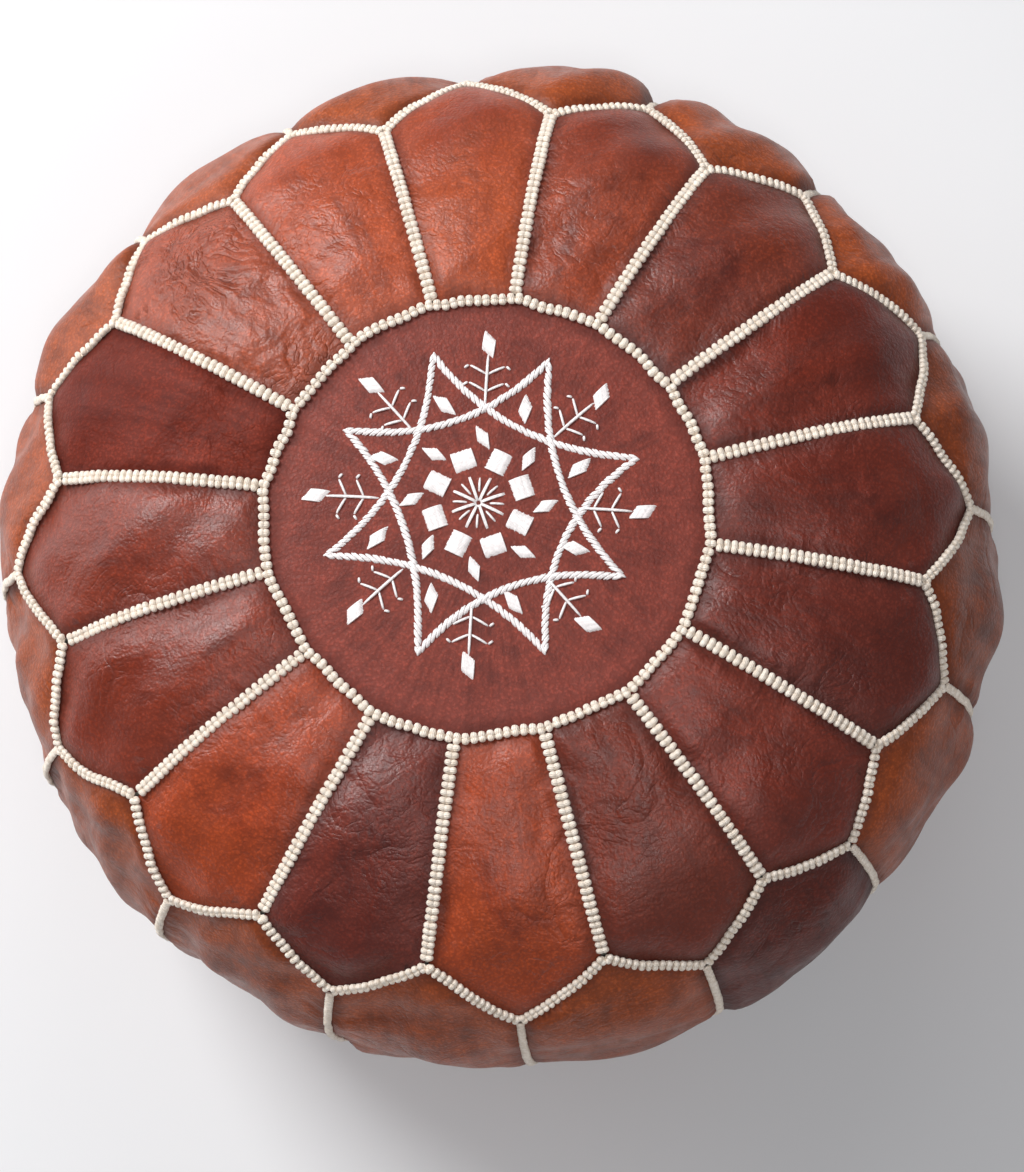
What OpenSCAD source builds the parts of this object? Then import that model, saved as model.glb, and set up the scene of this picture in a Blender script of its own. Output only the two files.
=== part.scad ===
// Moroccan leather pouf: a stuffed round floor seat sewn from leather petals and side panels.
// Millimetres, +Z up, origin on the floor under the middle of the base.

/* [Body] */
// Widest diameter of the stuffed pouf
body_d = 520; // [420:10:640]
// Height of the top face above the floor
body_h = 300; // [240:10:400]
// Height of the widest part above the floor
widest_z = 170; // [120:5:200]
// Radius of the flat middle of the top
top_flat_r = 88; // [84:1:92]
// Roundness of the top shoulder, where 2 is an ellipse and more is squarer
top_power = 2.35; // [2:0.05:3]
// Roundness of the lower corner
base_power = 2.2; // [1.8:0.05:3]
// Distance from the widest radius in to the edge of the flat foot ring
foot_inset = 70; // [50:1:90]
// Width of the flat ring that rests on the floor
foot_w = 20; // [12:1:30]
// Width of the ramp between the foot ring and the raised middle of the base
dish_ramp = 15; // [10:1:25]
// Height of the raised middle of the base above the floor
dish_h = 8; // [7:0.5:12]

/* [Leather panels] */
// Number of petals on the top, and of panels round the side
panel_count = 16; // [12:1:17]
// Thickness of the leather
leather_t = 1.6; // [1:0.1:2.4]
// Radius of the round seam between the medallion and the petals
ring_r = 110; // [96:1:130]
// Distance from the widest radius in to the outer ends of the petal seams
petal_inset = 45; // [40:1:55]
// Distance from the widest radius in to the point of each petal
tip_inset = 23; // [16:1:28]
// Distance from the widest radius in to the seam round the base
base_seam_inset = 45; // [35:1:48]
// Gap between two leather edges that are sewn together
joint_gap = 0.5; // [0.2:0.1:1]

/* [Seam braid] */
// Width of the thick overcast braid over the seams of the top
braid_w = 5.6; // [3:0.2:8]
// Height of the thick braid above the leather
braid_h = 2.6; // [1.5:0.1:3.5]
// Width of the flat braid over the side seams
side_braid_w = 4.4; // [2.5:0.1:6]
// Height of the flat braid above the leather
side_braid_h = 1.8; // [1:0.1:2.6]

/* [Embroidery] */
// Radius of the points of the eight-pointed star
star_r = 76; // [60:1:78]
// Width of the star's rope stitch
star_line_w = 3.6; // [2:0.1:5]
// Height of the stitches above the leather
stitch_h = 0.9; // [0.5:0.1:1.5]
// Width of a single laid thread
thread_w = 1.3; // [0.8:0.1:2]
// Side of each satin-stitched square
square_side = 10.6; // [8:0.2:12]
// Radius of the ring of squares
square_ring_r = 22.5; // [21:0.5:26]
// Turn of the whole ornament about its middle
star_turn = -7; // [-11:1:11]
// Shift of the ornament sideways from the middle of the top
star_shift_x = -3.5; // [-4:0.5:4]
// Shift of the ornament backwards from the middle of the top
star_shift_y = 6; // [-6:0.5:6]

/* [Zip] */
// Distance from the last tooth to the end of the flat middle of the base
zip_margin = 14; // [13:0.5:20]
// Distance from one tooth to the next on the same side
tooth_pitch = 3.2; // [2.8:0.1:4]
// Length of one tooth along the zip
tooth_t = 1.3; // [0.9:0.1:1.35]
// Height of a tooth
tooth_h = 3.6; // [3:0.1:4]
// Width of each zip tape
tape_w = 14; // [11:0.5:16]
// Thickness of the zip tape
tape_t = 0.8; // [0.5:0.1:1.2]
// Width of the slot in the base that shows the zip
slot_w = 15; // [14.4:0.2:18]
// Length of the zip slider
slider_l = 18; // [16:0.5:22]
// Width of the zip slider
slider_w = 13; // [12:0.2:13.6]
// Thickness of the slider's two plates
slider_plate_t = 1.4; // [1:0.1:1.6]
// Length of the pull tab from its pivot
pull_l = 30; // [20:1:40]
// Width of the pull tab
pull_w = 8; // [6:0.5:12]
// Thickness of the pull tab
pull_t = 1.6; // [1:0.1:2]
// Radius of the pin that the pull tab swings on
pull_pin_r = 0.95; // [0.7:0.05:1.1]
// Radial clearance of the pull tab on its pin
pull_fit = 0.05; // [0.02:0.01:0.1]

/* [Filling] */
// Thickness of the cotton liner bag
liner_t = 0.8; // [0.4:0.1:1.5]
// Room between the leather and the liner bag, for the zip tapes and the welts
liner_gap = 2; // [1.8:0.1:4]
// Length of the mouth that the liner bag is filled through
liner_mouth_l = 200; // [120:5:220]
// Thickness of the strips that join the two base halves on the inside
welt_t = 1.2; // [0.8:0.1:1.4]
// Width of those strips
welt_w = 14; // [10:0.5:18]

/* [Hidden] */
$fn = 96;
fit_gap = 0.2;

two_digits = function (i) i < 10 ? str("0", i) : str(i);
petal_name = function (i) str("petal_", two_digits(i));
side_name = function (i) str("side_panel_", two_digits(i));

// Leather and thread shades
tan_leather = "#a4552a";
chestnut_leather = "#823c22";
dark_leather = "#5f2c22";
medallion_leather = "#6f3428";
cream_thread = "#e2d5bd";
white_thread = "#f1ece6";
brass = "#b99a55";
cotton = "#e8e0d0";
// Shade of each petal, clockwise from the one at +Y
petal_shades = [
    tan_leather, chestnut_leather, dark_leather, chestnut_leather,
    dark_leather, dark_leather, dark_leather, chestnut_leather,
    tan_leather, dark_leather, tan_leather, chestnut_leather,
    chestnut_leather, dark_leather, chestnut_leather, tan_leather
];

// Places that follow from the driving sizes
body_r = body_d / 2;
foot_r = body_r - foot_inset;
dish_r = foot_r - foot_w;
dish_flat_r = dish_r - dish_ramp;
petal_r = body_r - petal_inset;
tip_r = body_r - tip_inset;
base_seam_r = body_r - base_seam_inset;
panel_angle = 360 / panel_count;
half_angle = panel_angle / 2;

// Latitude runs from 90 at the edge of the flat top, through 0 at the widest part, to -90 at the foot.
function outer_face(lat) =
    let (up = lat >= 0)
    let (flat = up ? top_flat_r : foot_r, power = up ? top_power : base_power)
    let (rise = up ? body_h - widest_z : -widest_z)
    [flat + (body_r - flat) * pow(cos(lat), 2 / power), widest_z + rise * pow(abs(sin(lat)), 2 / power)];
function outward(lat) =
    let (up = lat >= 0)
    let (flat = up ? top_flat_r : foot_r, power = up ? top_power : base_power)
    let (rise = up ? body_h - widest_z : widest_z, s = up ? 1 : -1)
    let (n = [
        pow(cos(lat), 2 * (power - 1) / power) / (body_r - flat),
        s * pow(abs(sin(lat)), 2 * (power - 1) / power) / rise
    ])
    n / norm(n);
// Every layer is drawn through the same latitudes, so that layers laid on one another stay clear all the way
lat_step = 7.5;
function knot(i, d) = outer_face(i * lat_step) + d * outward(i * lat_step);
// A point above the leather's outer face by d, or below it where d is negative
function skin(lat, d) =
    let (i = floor(lat / lat_step), t = lat / lat_step - i)
    t == 0 ? knot(i, d) : (1 - t) * knot(i, d) + t * knot(i + 1, d);
function lats_between(from, to) = concat(
    [from], [for (i = [ceil(from / lat_step) - 1 : -1 : floor(to / lat_step) + 1]) i * lat_step], [to]
);
function top_lat(r) = acos(pow((r - top_flat_r) / (body_r - top_flat_r), top_power / 2));
function base_lat(r) = -acos(pow((r - foot_r) / (body_r - foot_r), base_power / 2));
// Degrees of latitude that span a length along the skin
function lat_span(lat, length) = length / norm(outer_face(lat + 0.5) - outer_face(lat - 0.5));
function reversed(list) = [for (i = [len(list) - 1 : -1 : 0]) list[i]];

petal_lat = top_lat(petal_r);
tip_lat = top_lat(tip_r);
ring_lat = top_lat(ring_r);
base_seam_lat = base_lat(base_seam_r);

// Half profile of a layer between two latitudes, d_in to d_out above the leather's outer face
module band(from, to, d_in, d_out) {
    lats = lats_between(from, to);
    polygon(concat([for (l = lats) skin(l, d_out)], reversed([for (l = lats) skin(l, d_in)])));
}

// A slice of that layer, centred on an angle
module slice(angle, width, from, to, d_in, d_out) {
    rotate([0, 0, angle - width / 2])
        rotate_extrude(angle = width) band(from, to, d_in, d_out);
}

// Angle of a petal's middle and of a side panel's middle, clockwise from +Y
function petal_angle(i) = 90 - panel_angle * (i - 1);
function side_angle(i) = petal_angle(i) - half_angle;

// The frame of a petal's pointed outer edge: x runs from between the petal's corners to its point
petal_corner = outer_face(petal_lat);
petal_point = outer_face(tip_lat);
edge_start_x = petal_corner[0] * cos(half_angle);
edge_half_w = petal_corner[0] * sin(half_angle);
edge_tilt = atan2(petal_corner[1] - petal_point[1], petal_point[0] - edge_start_x);
edge_l = norm([petal_point[0] - edge_start_x, petal_point[1] - petal_corner[1]]);
edge_reach = body_r;
// Shift along x that moves the edge by a distance square to itself
function edge_shift(distance) = distance * norm([edge_l, edge_half_w]) / edge_half_w;

module in_edge_frame(i) {
    rotate([0, 0, petal_angle(i)])
        translate([edge_start_x, 0, petal_corner[1]])
            rotate([0, edge_tilt, 0])
                translate([0, 0, -edge_reach / 2])
                    linear_extrude(edge_reach) children();
}

// Everything on the petal's side of its pointed edge, moved out by a distance
module inside_edge(i, distance) {
    s = edge_shift(distance);
    in_edge_frame(i)
        polygon([
            [-edge_reach, -edge_half_w], [s, -edge_half_w], [edge_l + s, 0],
            [s, edge_half_w], [-edge_reach, edge_half_w]
        ]);
}

module edge_strip(i, width) {
    s = edge_shift(width / 2);
    in_edge_frame(i)
        polygon([
            [-s, -edge_half_w], [edge_l - s, 0], [-s, edge_half_w],
            [s, edge_half_w], [edge_l + s, 0], [s, -edge_half_w]
        ]);
}

// The angle that leaves half the joint gap on each side of a slice at the medallion
gap_angle = joint_gap / ring_r * 180 / PI;
gap_lat = lat_span(petal_lat, joint_gap);

module medallion() {
    lats = lats_between(90, ring_lat + gap_lat);
    color(medallion_leather)
        rotate_extrude()
            polygon(concat(
                [[0, body_h - leather_t], [0, body_h]],
                [for (l = lats) skin(l, 0)],
                reversed([for (l = lats) skin(l, -leather_t)])
            ));
}

module petal(i) {
    color(petal_shades[(i - 1) % len(petal_shades)])
        intersection() {
            slice(petal_angle(i), panel_angle - gap_angle, ring_lat, tip_lat - 4, -leather_t, 0);
            inside_edge(i, -joint_gap / 2);
        }
}

module side_panel(i) {
    color(i == 7 ? dark_leather : tan_leather)
        difference() {
            slice(side_angle(i), panel_angle - gap_angle, petal_lat + 2, base_seam_lat + gap_lat, -leather_t, 0);
            inside_edge(i, joint_gap / 2);
            inside_edge(i + 1, joint_gap / 2);
        }
}

// Half profile of the base: from the seam, over the foot ring, to the raised middle
function base_line(rise, reach) = concat(
    [for (l = lats_between(base_seam_lat - gap_lat, -90)) skin(l, -rise)],
    [[dish_r, rise], [dish_flat_r, dish_h + rise], [reach, dish_h + rise]]
);

slot_half_l = dish_flat_r - 1;

module base_half(front) {
    color(tan_leather)
        difference() {
            rotate([0, 0, front ? 180 : 0])
                rotate_extrude(angle = 180)
                    polygon(concat(base_line(0, 0), reversed(base_line(leather_t, 0))));
            translate([-body_r, -joint_gap / 2, -1]) cube([body_d, joint_gap, body_h]);
            translate([-slot_half_l, -slot_w / 2, -1]) cube([2 * slot_half_l, slot_w, body_h]);
        }
}

// Strips sewn over the joint between the two base halves, past both ends of the zip
module base_welts() {
    inner = leather_t + fit_gap;
    start = dish_flat_r + 1;
    color(dark_leather)
        for (side = [0, 180])
            rotate([0, 0, side])
                intersection() {
                    rotate([0, 0, -90])
                        rotate_extrude(angle = 180)
                            polygon(concat(base_line(inner, 0), reversed(base_line(inner + welt_t, 0))));
                    translate([start, -welt_w / 2, 0]) cube([base_seam_r - 3 - start, welt_w, body_h]);
                }
}

module ring_braid() {
    half = lat_span(ring_lat, braid_w / 2);
    color(cream_thread)
        rotate_extrude() band(ring_lat + half, ring_lat - half, fit_gap, braid_h);
}

// A straight strip of braid over one meridian
module meridian_braid(angle, width, height, from, to) {
    rotate([0, 0, angle])
        intersection() {
            slice(0, 8, from, to, fit_gap, height);
            translate([0, -width / 2, -1]) cube([body_d, width, body_h + 20]);
        }
}

module petal_braids() {
    from = ring_lat - lat_span(ring_lat, braid_w / 2 + fit_gap);
    to = petal_lat + lat_span(petal_lat, edge_shift(braid_w / 2) + braid_h);
    color(cream_thread)
        for (i = [1 : panel_count])
            meridian_braid(side_angle(i), braid_w, braid_h, from, to);
}

// The braid round the petals' points, one V to each petal
module crown_braids() {
    color(cream_thread)
        for (i = [1 : panel_count])
            intersection() {
                slice(petal_angle(i), panel_angle - gap_angle, petal_lat + 12, tip_lat - 12, fit_gap, braid_h);
                edge_strip(i, braid_w);
            }
}

module side_braids() {
    from = tip_lat - lat_span(tip_lat, edge_shift(braid_w / 2) + braid_h);
    to = base_seam_lat + lat_span(base_seam_lat, braid_w / 2 + braid_h);
    color(cream_thread)
        for (i = [1 : panel_count])
            meridian_braid(petal_angle(i), side_braid_w, side_braid_h, from, to);
}

module base_braid() {
    half = lat_span(base_seam_lat, braid_w / 2);
    color(cream_thread)
        rotate_extrude() band(base_seam_lat + half, base_seam_lat - half, fit_gap, braid_h);
}

// Embroidery, laid on the flat middle of the medallion
star_points = 8;
star_angle = 360 / star_points;

module stitched() {
    color(white_thread)
        translate([star_shift_x, star_shift_y, body_h + fit_gap])
            rotate(star_turn) linear_extrude(stitch_h) children();
}

function polar(r, a) = [r * cos(a), r * sin(a)];

// Each side of the star runs between every second point and is drawn in towards the middle
function star_side(t) =
    let (a = polar(star_r, 0), c = polar(star_r, 2 * star_angle))
    let (pull = polar(0.354 * star_r, star_angle))
    (1 - t) * (1 - t) * a + 2 * t * (1 - t) * pull + t * t * c;

module star_stroke() {
    n = 10;
    line = [for (i = [0 : n]) star_side(i / n)];
    left = [for (i = [0 : n])
        let (d = line[min(i + 1, n)] - line[max(i - 1, 0)])
        line[i] + [-d[1], d[0]] / norm(d) * star_line_w / 2];
    right = [for (i = [0 : n]) 2 * line[i] - left[i]];
    polygon(concat(left, reversed(right)));
}

module star_embroidery() {
    stitched()
        for (i = [0 : star_points - 1])
            rotate(star_angle * (i - 0.5)) star_stroke();
}

module burst_embroidery() {
    stitched()
        for (i = [0 : star_points - 1])
            rotate(star_angle * i) {
                rotate(star_angle / 2) translate([1, -thread_w / 2]) square([13.5, thread_w]);
                translate([5, -thread_w / 2]) square([8, thread_w]);
            }
}

module square_embroidery() {
    stitched()
        for (i = [0 : star_points - 1])
            rotate(star_angle * (i + 0.5))
                translate([square_ring_r, 0]) square(square_side, center = true);
}

module lozenge(length, width) {
    polygon([[-length / 2, -width / 2], [length / 4, -width / 2], [length / 2, width / 2], [-length / 4, width / 2]]);
}

module lozenge_embroidery() {
    stitched()
        for (i = [0 : star_points - 1])
            rotate(star_angle * i) {
                translate([0.44 * star_r, 0]) lozenge(12, 4.6);
                rotate(star_angle / 2) translate([0.72 * star_r, 0]) lozenge(14, 4.6);
            }
}

// A stem with two pairs of barbs and a lozenge at its tip, between each two points of the star
module branch() {
    stem_from = 0.635 * star_r;
    stem_to = 0.94 * star_r;
    translate([stem_from, -thread_w / 2]) square([stem_to - stem_from, thread_w]);
    translate([stem_to + 6, 0]) lozenge(14, 4.8);
    for (at = [0.70, 0.82], side = [-1, 1])
        translate([at * star_r, 0])
            rotate(side * 62) {
                translate([0, -thread_w / 2]) square([9, thread_w]);
                translate([9, 0]) rotate(side * 80) translate([-thread_w / 2, -thread_w / 2]) square([3, thread_w]);
            }
}

module branch_embroidery() {
    stitched()
        for (i = [0 : star_points - 1])
            rotate(star_angle * i) branch();
}

// The zip: its chain lies along X on the inside of the base, over the slot
zip_z = dish_h + leather_t + fit_gap + tape_t / 2;
chain_x = dish_flat_r - zip_margin;
slider_x = chain_x - 3.2;
pull_pivot_x = slider_x - 2;
// Where the slider stops when the zip is open, with its pull tab still over the flat of the base
open_x = pull_l + 5 - dish_flat_r;
teeth_per_side = floor((chain_x - open_x + slider_l / 2) / tooth_pitch);
tooth_reach = 1.4;
tape_edge_y = 2.6;
tooth_back_y = 4.4;
slider_room = 0.6;
slider_half_h = tooth_h / 2 + slider_room + slider_plate_t;
channel_top = zip_z + slider_half_h + slider_room;

module zip_tape(side) {
    color("#3a2a22")
        translate([-slot_half_l, side > 0 ? tape_edge_y : -tape_edge_y - tape_w, zip_z - tape_t / 2])
            cube([2 * slot_half_l, tape_w, tape_t]);
}

// One tooth, clamped over the edge of its tape and reaching past the middle
module tooth(length) {
    slot_h = tape_t / 2 + fit_gap;
    rotate([90, 0, 90])
        linear_extrude(length)
            polygon([
                [-tooth_reach, -tooth_h / 2], [tooth_back_y, -tooth_h / 2], [tooth_back_y, -slot_h],
                [tape_edge_y - fit_gap, -slot_h], [tape_edge_y - fit_gap, slot_h], [tooth_back_y, slot_h],
                [tooth_back_y, tooth_h / 2], [-tooth_reach, tooth_h / 2]
            ]);
}

module zip_teeth(side) {
    color(brass)
        for (k = [0 : teeth_per_side - 1])
            translate([chain_x - tooth_pitch * (k + (side > 0 ? 0.5 : 1)), 0, zip_z])
                mirror([0, side > 0 ? 0 : 1, 0]) tooth(tooth_t);
}

module zip_top_stops() {
    color(brass)
        for (side = [0, 1])
            mirror([0, side, 0])
                translate([slider_x + slider_l / 2 + 0.7, 2 * tooth_reach - 0.6, zip_z])
                    difference() {
                        translate([0, 0, -tooth_h / 2]) cube([2.5, 2.6, tooth_h]);
                        translate([-1, tape_edge_y - fit_gap - 2.2, -tape_t / 2 - fit_gap])
                            cube([6, 6, tape_t + 2 * fit_gap]);
                    }
}

module zip_bottom_stop() {
    x = chain_x - tooth_pitch * (teeth_per_side + 0.5) - 3.6;
    color(brass)
        translate([x, 0, zip_z])
            difference() {
                translate([0, -tooth_back_y, -tooth_h / 2]) cube([3, 2 * tooth_back_y, tooth_h]);
                for (side = [0, 1])
                    mirror([0, side, 0])
                        translate([-1, tape_edge_y - fit_gap, -tape_t / 2 - fit_gap])
                            cube([6, 6, tape_t + 2 * fit_gap]);
            }
}

eye_r = pull_pin_r + pull_fit + 0.9;
pull_pivot_z = zip_z - slider_half_h - eye_r - 0.4;
ear_y = 1.7;
ear_t = 1.2;

// Two plates joined by a post at the front, with rims that steer the chain, and ears with a pin for the pull
module zip_slider() {
    rim_h = slider_half_h - tape_t / 2 - 0.5;
    color(brass) {
        for (up = [0, 1])
            translate([slider_x, 0, zip_z])
                mirror([0, 0, up]) {
                    translate([-slider_l / 2, -slider_w / 2, slider_half_h - slider_plate_t])
                        cube([slider_l, slider_w, slider_plate_t]);
                    for (side = [0, 1])
                        mirror([0, side, 0])
                            translate([-slider_l / 2, slider_w / 2 - 1.2, slider_half_h - rim_h])
                                cube([slider_l, 1.2, rim_h]);
                }
        translate([slider_x + 3.6, -1.9, zip_z - slider_half_h + 0.5])
            cube([slider_l / 2 - 4.4, 3.8, 2 * slider_half_h - 1]);
        for (side = [0, 1])
            mirror([0, side, 0])
                translate([pull_pivot_x, ear_y, 0]) {
                    translate([-1.9, 0, pull_pivot_z])
                        cube([3.8, ear_t, zip_z - slider_half_h + 0.3 - pull_pivot_z]);
                    translate([0, 0, pull_pivot_z]) rotate([-90, 0, 0]) cylinder(r = 1.9, h = ear_t);
                }
        translate([pull_pivot_x, -ear_y - ear_t / 2, pull_pivot_z])
            rotate([-90, 0, 0]) cylinder(r = pull_pin_r, h = 2 * ear_y + ear_t);
    }
}

// The pull tab: an eye on the pin, a neck between the ears and a tab with a hole
module zip_pull() {
    neck_w = 2 * ear_y - 0.6;
    neck_l = 5;
    hole_r = pull_w / 4;
    color(brass)
        translate([pull_pivot_x, 0, pull_pivot_z])
            difference() {
                union() {
                    rotate([90, 0, 0]) cylinder(r = eye_r, h = neck_w, center = true);
                    translate([-neck_l - 1, -neck_w / 2, -pull_t / 2]) cube([neck_l + 1, neck_w, pull_t]);
                    translate([-pull_l + pull_w / 2, -pull_w / 2, -pull_t / 2])
                        cube([pull_l - pull_w / 2 - neck_l, pull_w, pull_t]);
                    translate([-pull_l + pull_w / 2, 0, 0]) cylinder(r = pull_w / 2, h = pull_t, center = true);
                }
                rotate([90, 0, 0]) cylinder(r = pull_pin_r + pull_fit, h = neck_w + 2, center = true);
                translate([-pull_l + pull_w / 2, 0, 0]) cylinder(r = hole_r, h = pull_t + 2, center = true);
            }
}

// Half profile of everything inside the leather, taken in by a distance
module inside_profile(d) {
    polygon(concat(
        [[0, dish_h + d], [0, body_h - d]],
        [for (l = lats_between(90, -90)) skin(l, -d)],
        [[dish_r, d], [dish_flat_r, dish_h + d]]
    ));
}

// The inside, taken in by a distance, with a channel that clears the zip by the same wall
module inside_body(d, wall) {
    difference() {
        rotate_extrude() inside_profile(d);
        translate([-slot_half_l - wall, -slot_w / 2 - wall, 0])
            cube([2 * (slot_half_l + wall), slot_w + 2 * wall, channel_top + wall]);
    }
}

module liner_bag() {
    d = leather_t + liner_gap;
    color(cotton)
        difference() {
            inside_body(d, 0);
            inside_body(d + liner_t, liner_t);
            translate([-liner_mouth_l / 2, -1.5, 0]) cube([liner_mouth_l, 3, channel_top + 2 * liner_t]);
        }
}

module filling() {
    d = leather_t + liner_gap + liner_t + fit_gap;
    color("white") inside_body(d, liner_t + fit_gap);
}

medallion();
for (i = [1 : panel_count]) {
    petal(i);
    side_panel(i);
}
base_half(true);  // base_half_front
base_half(false);  // base_half_back
base_welts();
ring_braid();
petal_braids();
crown_braids();
side_braids();
base_braid();
star_embroidery();
burst_embroidery();
square_embroidery();
lozenge_embroidery();
branch_embroidery();
liner_bag();
filling();
zip_tape(-1);  // zip_tape_front
zip_tape(1);  // zip_tape_back
zip_teeth(-1);  // zip_teeth_front
zip_teeth(1);  // zip_teeth_back
zip_top_stops();
zip_bottom_stop();
zip_slider();
zip_pull();
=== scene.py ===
# %% [markdown]
# # A stuffed leather pouf, sewn from petals
# A pouf is a leather cover around a hard-packed bag of stuffing. A round medallion sits in the
# middle of the top, sixteen petals are sewn round it, and sixteen panels run down the side.
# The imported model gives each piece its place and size. Here the same pieces get their soft
# shapes: the cover is drawn as one skin, blown out between its seams, and cut into panels again.

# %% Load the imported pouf
import math
import bpy
import numpy as np
from mathutils import Matrix, Vector
from mathutils.bvhtree import BVHTree
from mathutils.kdtree import KDTree


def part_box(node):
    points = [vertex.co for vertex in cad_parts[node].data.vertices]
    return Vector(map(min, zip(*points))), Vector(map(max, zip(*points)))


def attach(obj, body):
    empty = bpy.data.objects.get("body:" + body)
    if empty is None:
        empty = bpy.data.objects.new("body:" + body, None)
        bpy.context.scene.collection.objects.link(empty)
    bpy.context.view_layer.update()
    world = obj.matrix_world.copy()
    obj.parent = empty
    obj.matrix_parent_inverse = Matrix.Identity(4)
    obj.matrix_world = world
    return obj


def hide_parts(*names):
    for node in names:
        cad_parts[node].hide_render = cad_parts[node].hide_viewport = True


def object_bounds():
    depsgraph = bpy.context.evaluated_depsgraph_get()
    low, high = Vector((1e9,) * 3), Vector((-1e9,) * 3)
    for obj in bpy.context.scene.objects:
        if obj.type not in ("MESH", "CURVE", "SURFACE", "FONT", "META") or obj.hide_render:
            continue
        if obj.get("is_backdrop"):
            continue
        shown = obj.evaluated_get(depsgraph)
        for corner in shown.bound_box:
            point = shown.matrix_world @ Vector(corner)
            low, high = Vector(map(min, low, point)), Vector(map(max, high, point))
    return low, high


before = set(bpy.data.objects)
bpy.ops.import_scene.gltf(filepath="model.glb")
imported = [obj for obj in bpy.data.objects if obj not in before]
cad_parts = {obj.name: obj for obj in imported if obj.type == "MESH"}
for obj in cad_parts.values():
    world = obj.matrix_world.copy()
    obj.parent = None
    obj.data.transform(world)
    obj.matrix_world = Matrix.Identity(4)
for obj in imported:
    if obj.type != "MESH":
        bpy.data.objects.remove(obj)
cad_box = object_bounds()
cover = "stuffed_cover"
rng = np.random.default_rng(16)

# %% [markdown]
# ## The studio
# The pouf stands on a plain pale floor, and the camera looks down on its face from almost above.
# A window beyond the far left edge gives every puffed panel a broad highlight on that side, and a
# white wall low on the left lights the side panels. A weak window behind, a fill from the near
# right and a small ceiling lamp keep the darkest hides readable.

# %% Camera
def new_object(name, data):
    made = bpy.data.objects.new(name, data)
    bpy.context.scene.collection.objects.link(made)
    return made


azimuth, elevation, roll = map(math.radians, (10.3, 79.3, -3.5))
aim = Vector((0.0054, -0.0096, 0.1617))
level = math.cos(elevation)
back = Vector((math.sin(azimuth) * level, -math.cos(azimuth) * level, math.sin(elevation)))
right = Vector((0, 1, 0)).cross(back).normalized()
up = back.cross(right)
cos, sin = math.cos(roll), math.sin(roll)
right, up = right * cos + up * sin, up * cos - right * sin

camera = new_object("camera", bpy.data.cameras.new("camera"))
camera_distance = 1.7
turn = Matrix((right, up, back)).transposed().to_4x4()
camera.matrix_world = Matrix.Translation(aim + camera_distance * back) @ turn
camera.data.lens = 100.6
camera.data.sensor_width = 36
camera.data.clip_end = 50
bpy.context.scene.camera = camera
print("camera at", [round(x, 3) for x in camera.matrix_world.translation])


# %% Lights
def soft_light(name, place, size, power):
    light = bpy.data.lights.new(name, "AREA")
    light.shape = "DISK"
    light.size = size
    light.energy = power
    lamp = new_object(name, light)
    lamp.location = place
    towards_pouf = Vector((0, 0, 0.15)) - Vector(place)
    lamp.rotation_euler = towards_pouf.to_track_quat("-Z", "Y").to_euler()
    lamp.visible_camera = False


soft_light("window", (-1.25, 1.3, 2.1), 1.1, 62)
soft_light("white wall", (-2.2, 1.3, 0.6), 2.0, 26)
soft_light("back window", (0.35, 1.9, 2.2), 1.2, 6)
soft_light("fill", (0.8, -1.7, 2.3), 2.0, 9)
soft_light("ceiling lamp", (0.1, -0.6, 2.6), 0.4, 14)

world = bpy.data.worlds.new("studio")
bpy.context.scene.world = world
world.use_nodes = True
sky = world.node_tree.nodes["Background"].inputs
sky["Color"].default_value = (0.93, 0.95, 1.0, 1)
sky["Strength"].default_value = 0.22
bpy.context.scene.view_settings.view_transform = "Standard"


# %% [markdown]
# ## Node groups
# Grain, creases, puckers, brush strokes, patches of dye and wear show on every hide, with painted
# shade in the seam valleys and along the creases; ply shows on every thread, and weave on every
# cloth. Each is a node group, built once and given its own values in each material.

# %% Helpers that build node trees
def fill(tree, node, inputs):
    for key, value in inputs.items():
        if isinstance(value, bpy.types.NodeSocket):
            tree.links.new(value, node.inputs[key])
        else:
            node.inputs[key].default_value = value
    return node


def add(tree, kind, inputs, **settings):
    made = tree.nodes.new("ShaderNode" + kind)
    for key, value in settings.items():
        setattr(made, key, value)
    return fill(tree, made, inputs)


def maths(tree, operation, *values, clamp=False):
    inputs = dict(enumerate(values))
    return add(tree, "Math", inputs, operation=operation, use_clamp=clamp).outputs[0]


def times(tree, a, b):
    return maths(tree, "MULTIPLY", a, b)


def times_plus(tree, a, b, c):
    return maths(tree, "MULTIPLY_ADD", a, b, c)


def vector_maths(tree, operation, **inputs):
    sockets = {"a": 0, "b": 1, "by": "Scale"}
    inputs = {sockets[key]: value for key, value in inputs.items()}
    return add(tree, "VectorMath", inputs, operation=operation).outputs


def vector_of(tree, x, y, z=0.0):
    return add(tree, "CombineXYZ", {"X": x, "Y": y, "Z": z}).outputs[0]


def noise(tree, place, scale, detail, roughness=0.5, distortion=0.0):
    inputs = {"Vector": place, "Scale": scale, "Detail": detail}
    inputs |= {"Roughness": roughness, "Distortion": distortion}
    return add(tree, "TexNoise", inputs).outputs


def ramp(tree, value, low, high, to_low=0.0, to_high=1.0):
    inputs = {"Value": value, "From Min": low, "From Max": high}
    inputs |= {"To Min": to_low, "To Max": to_high}
    return add(tree, "MapRange", inputs, interpolation_type="SMOOTHSTEP").outputs["Result"]


def blend_colours(tree, share, first, second):
    first, second = ((*x, 1) if isinstance(x, (list, tuple)) else x for x in (first, second))
    return add(tree, "Mix", {0: share, 6: first, 7: second}, data_type="RGBA").outputs[2]


def bump(tree, surface, height, strength, distance):
    inputs = {"Height": height, "Strength": strength, "Distance": distance}
    fill(tree, surface, {"Normal": add(tree, "Bump", inputs).outputs["Normal"]})


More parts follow.
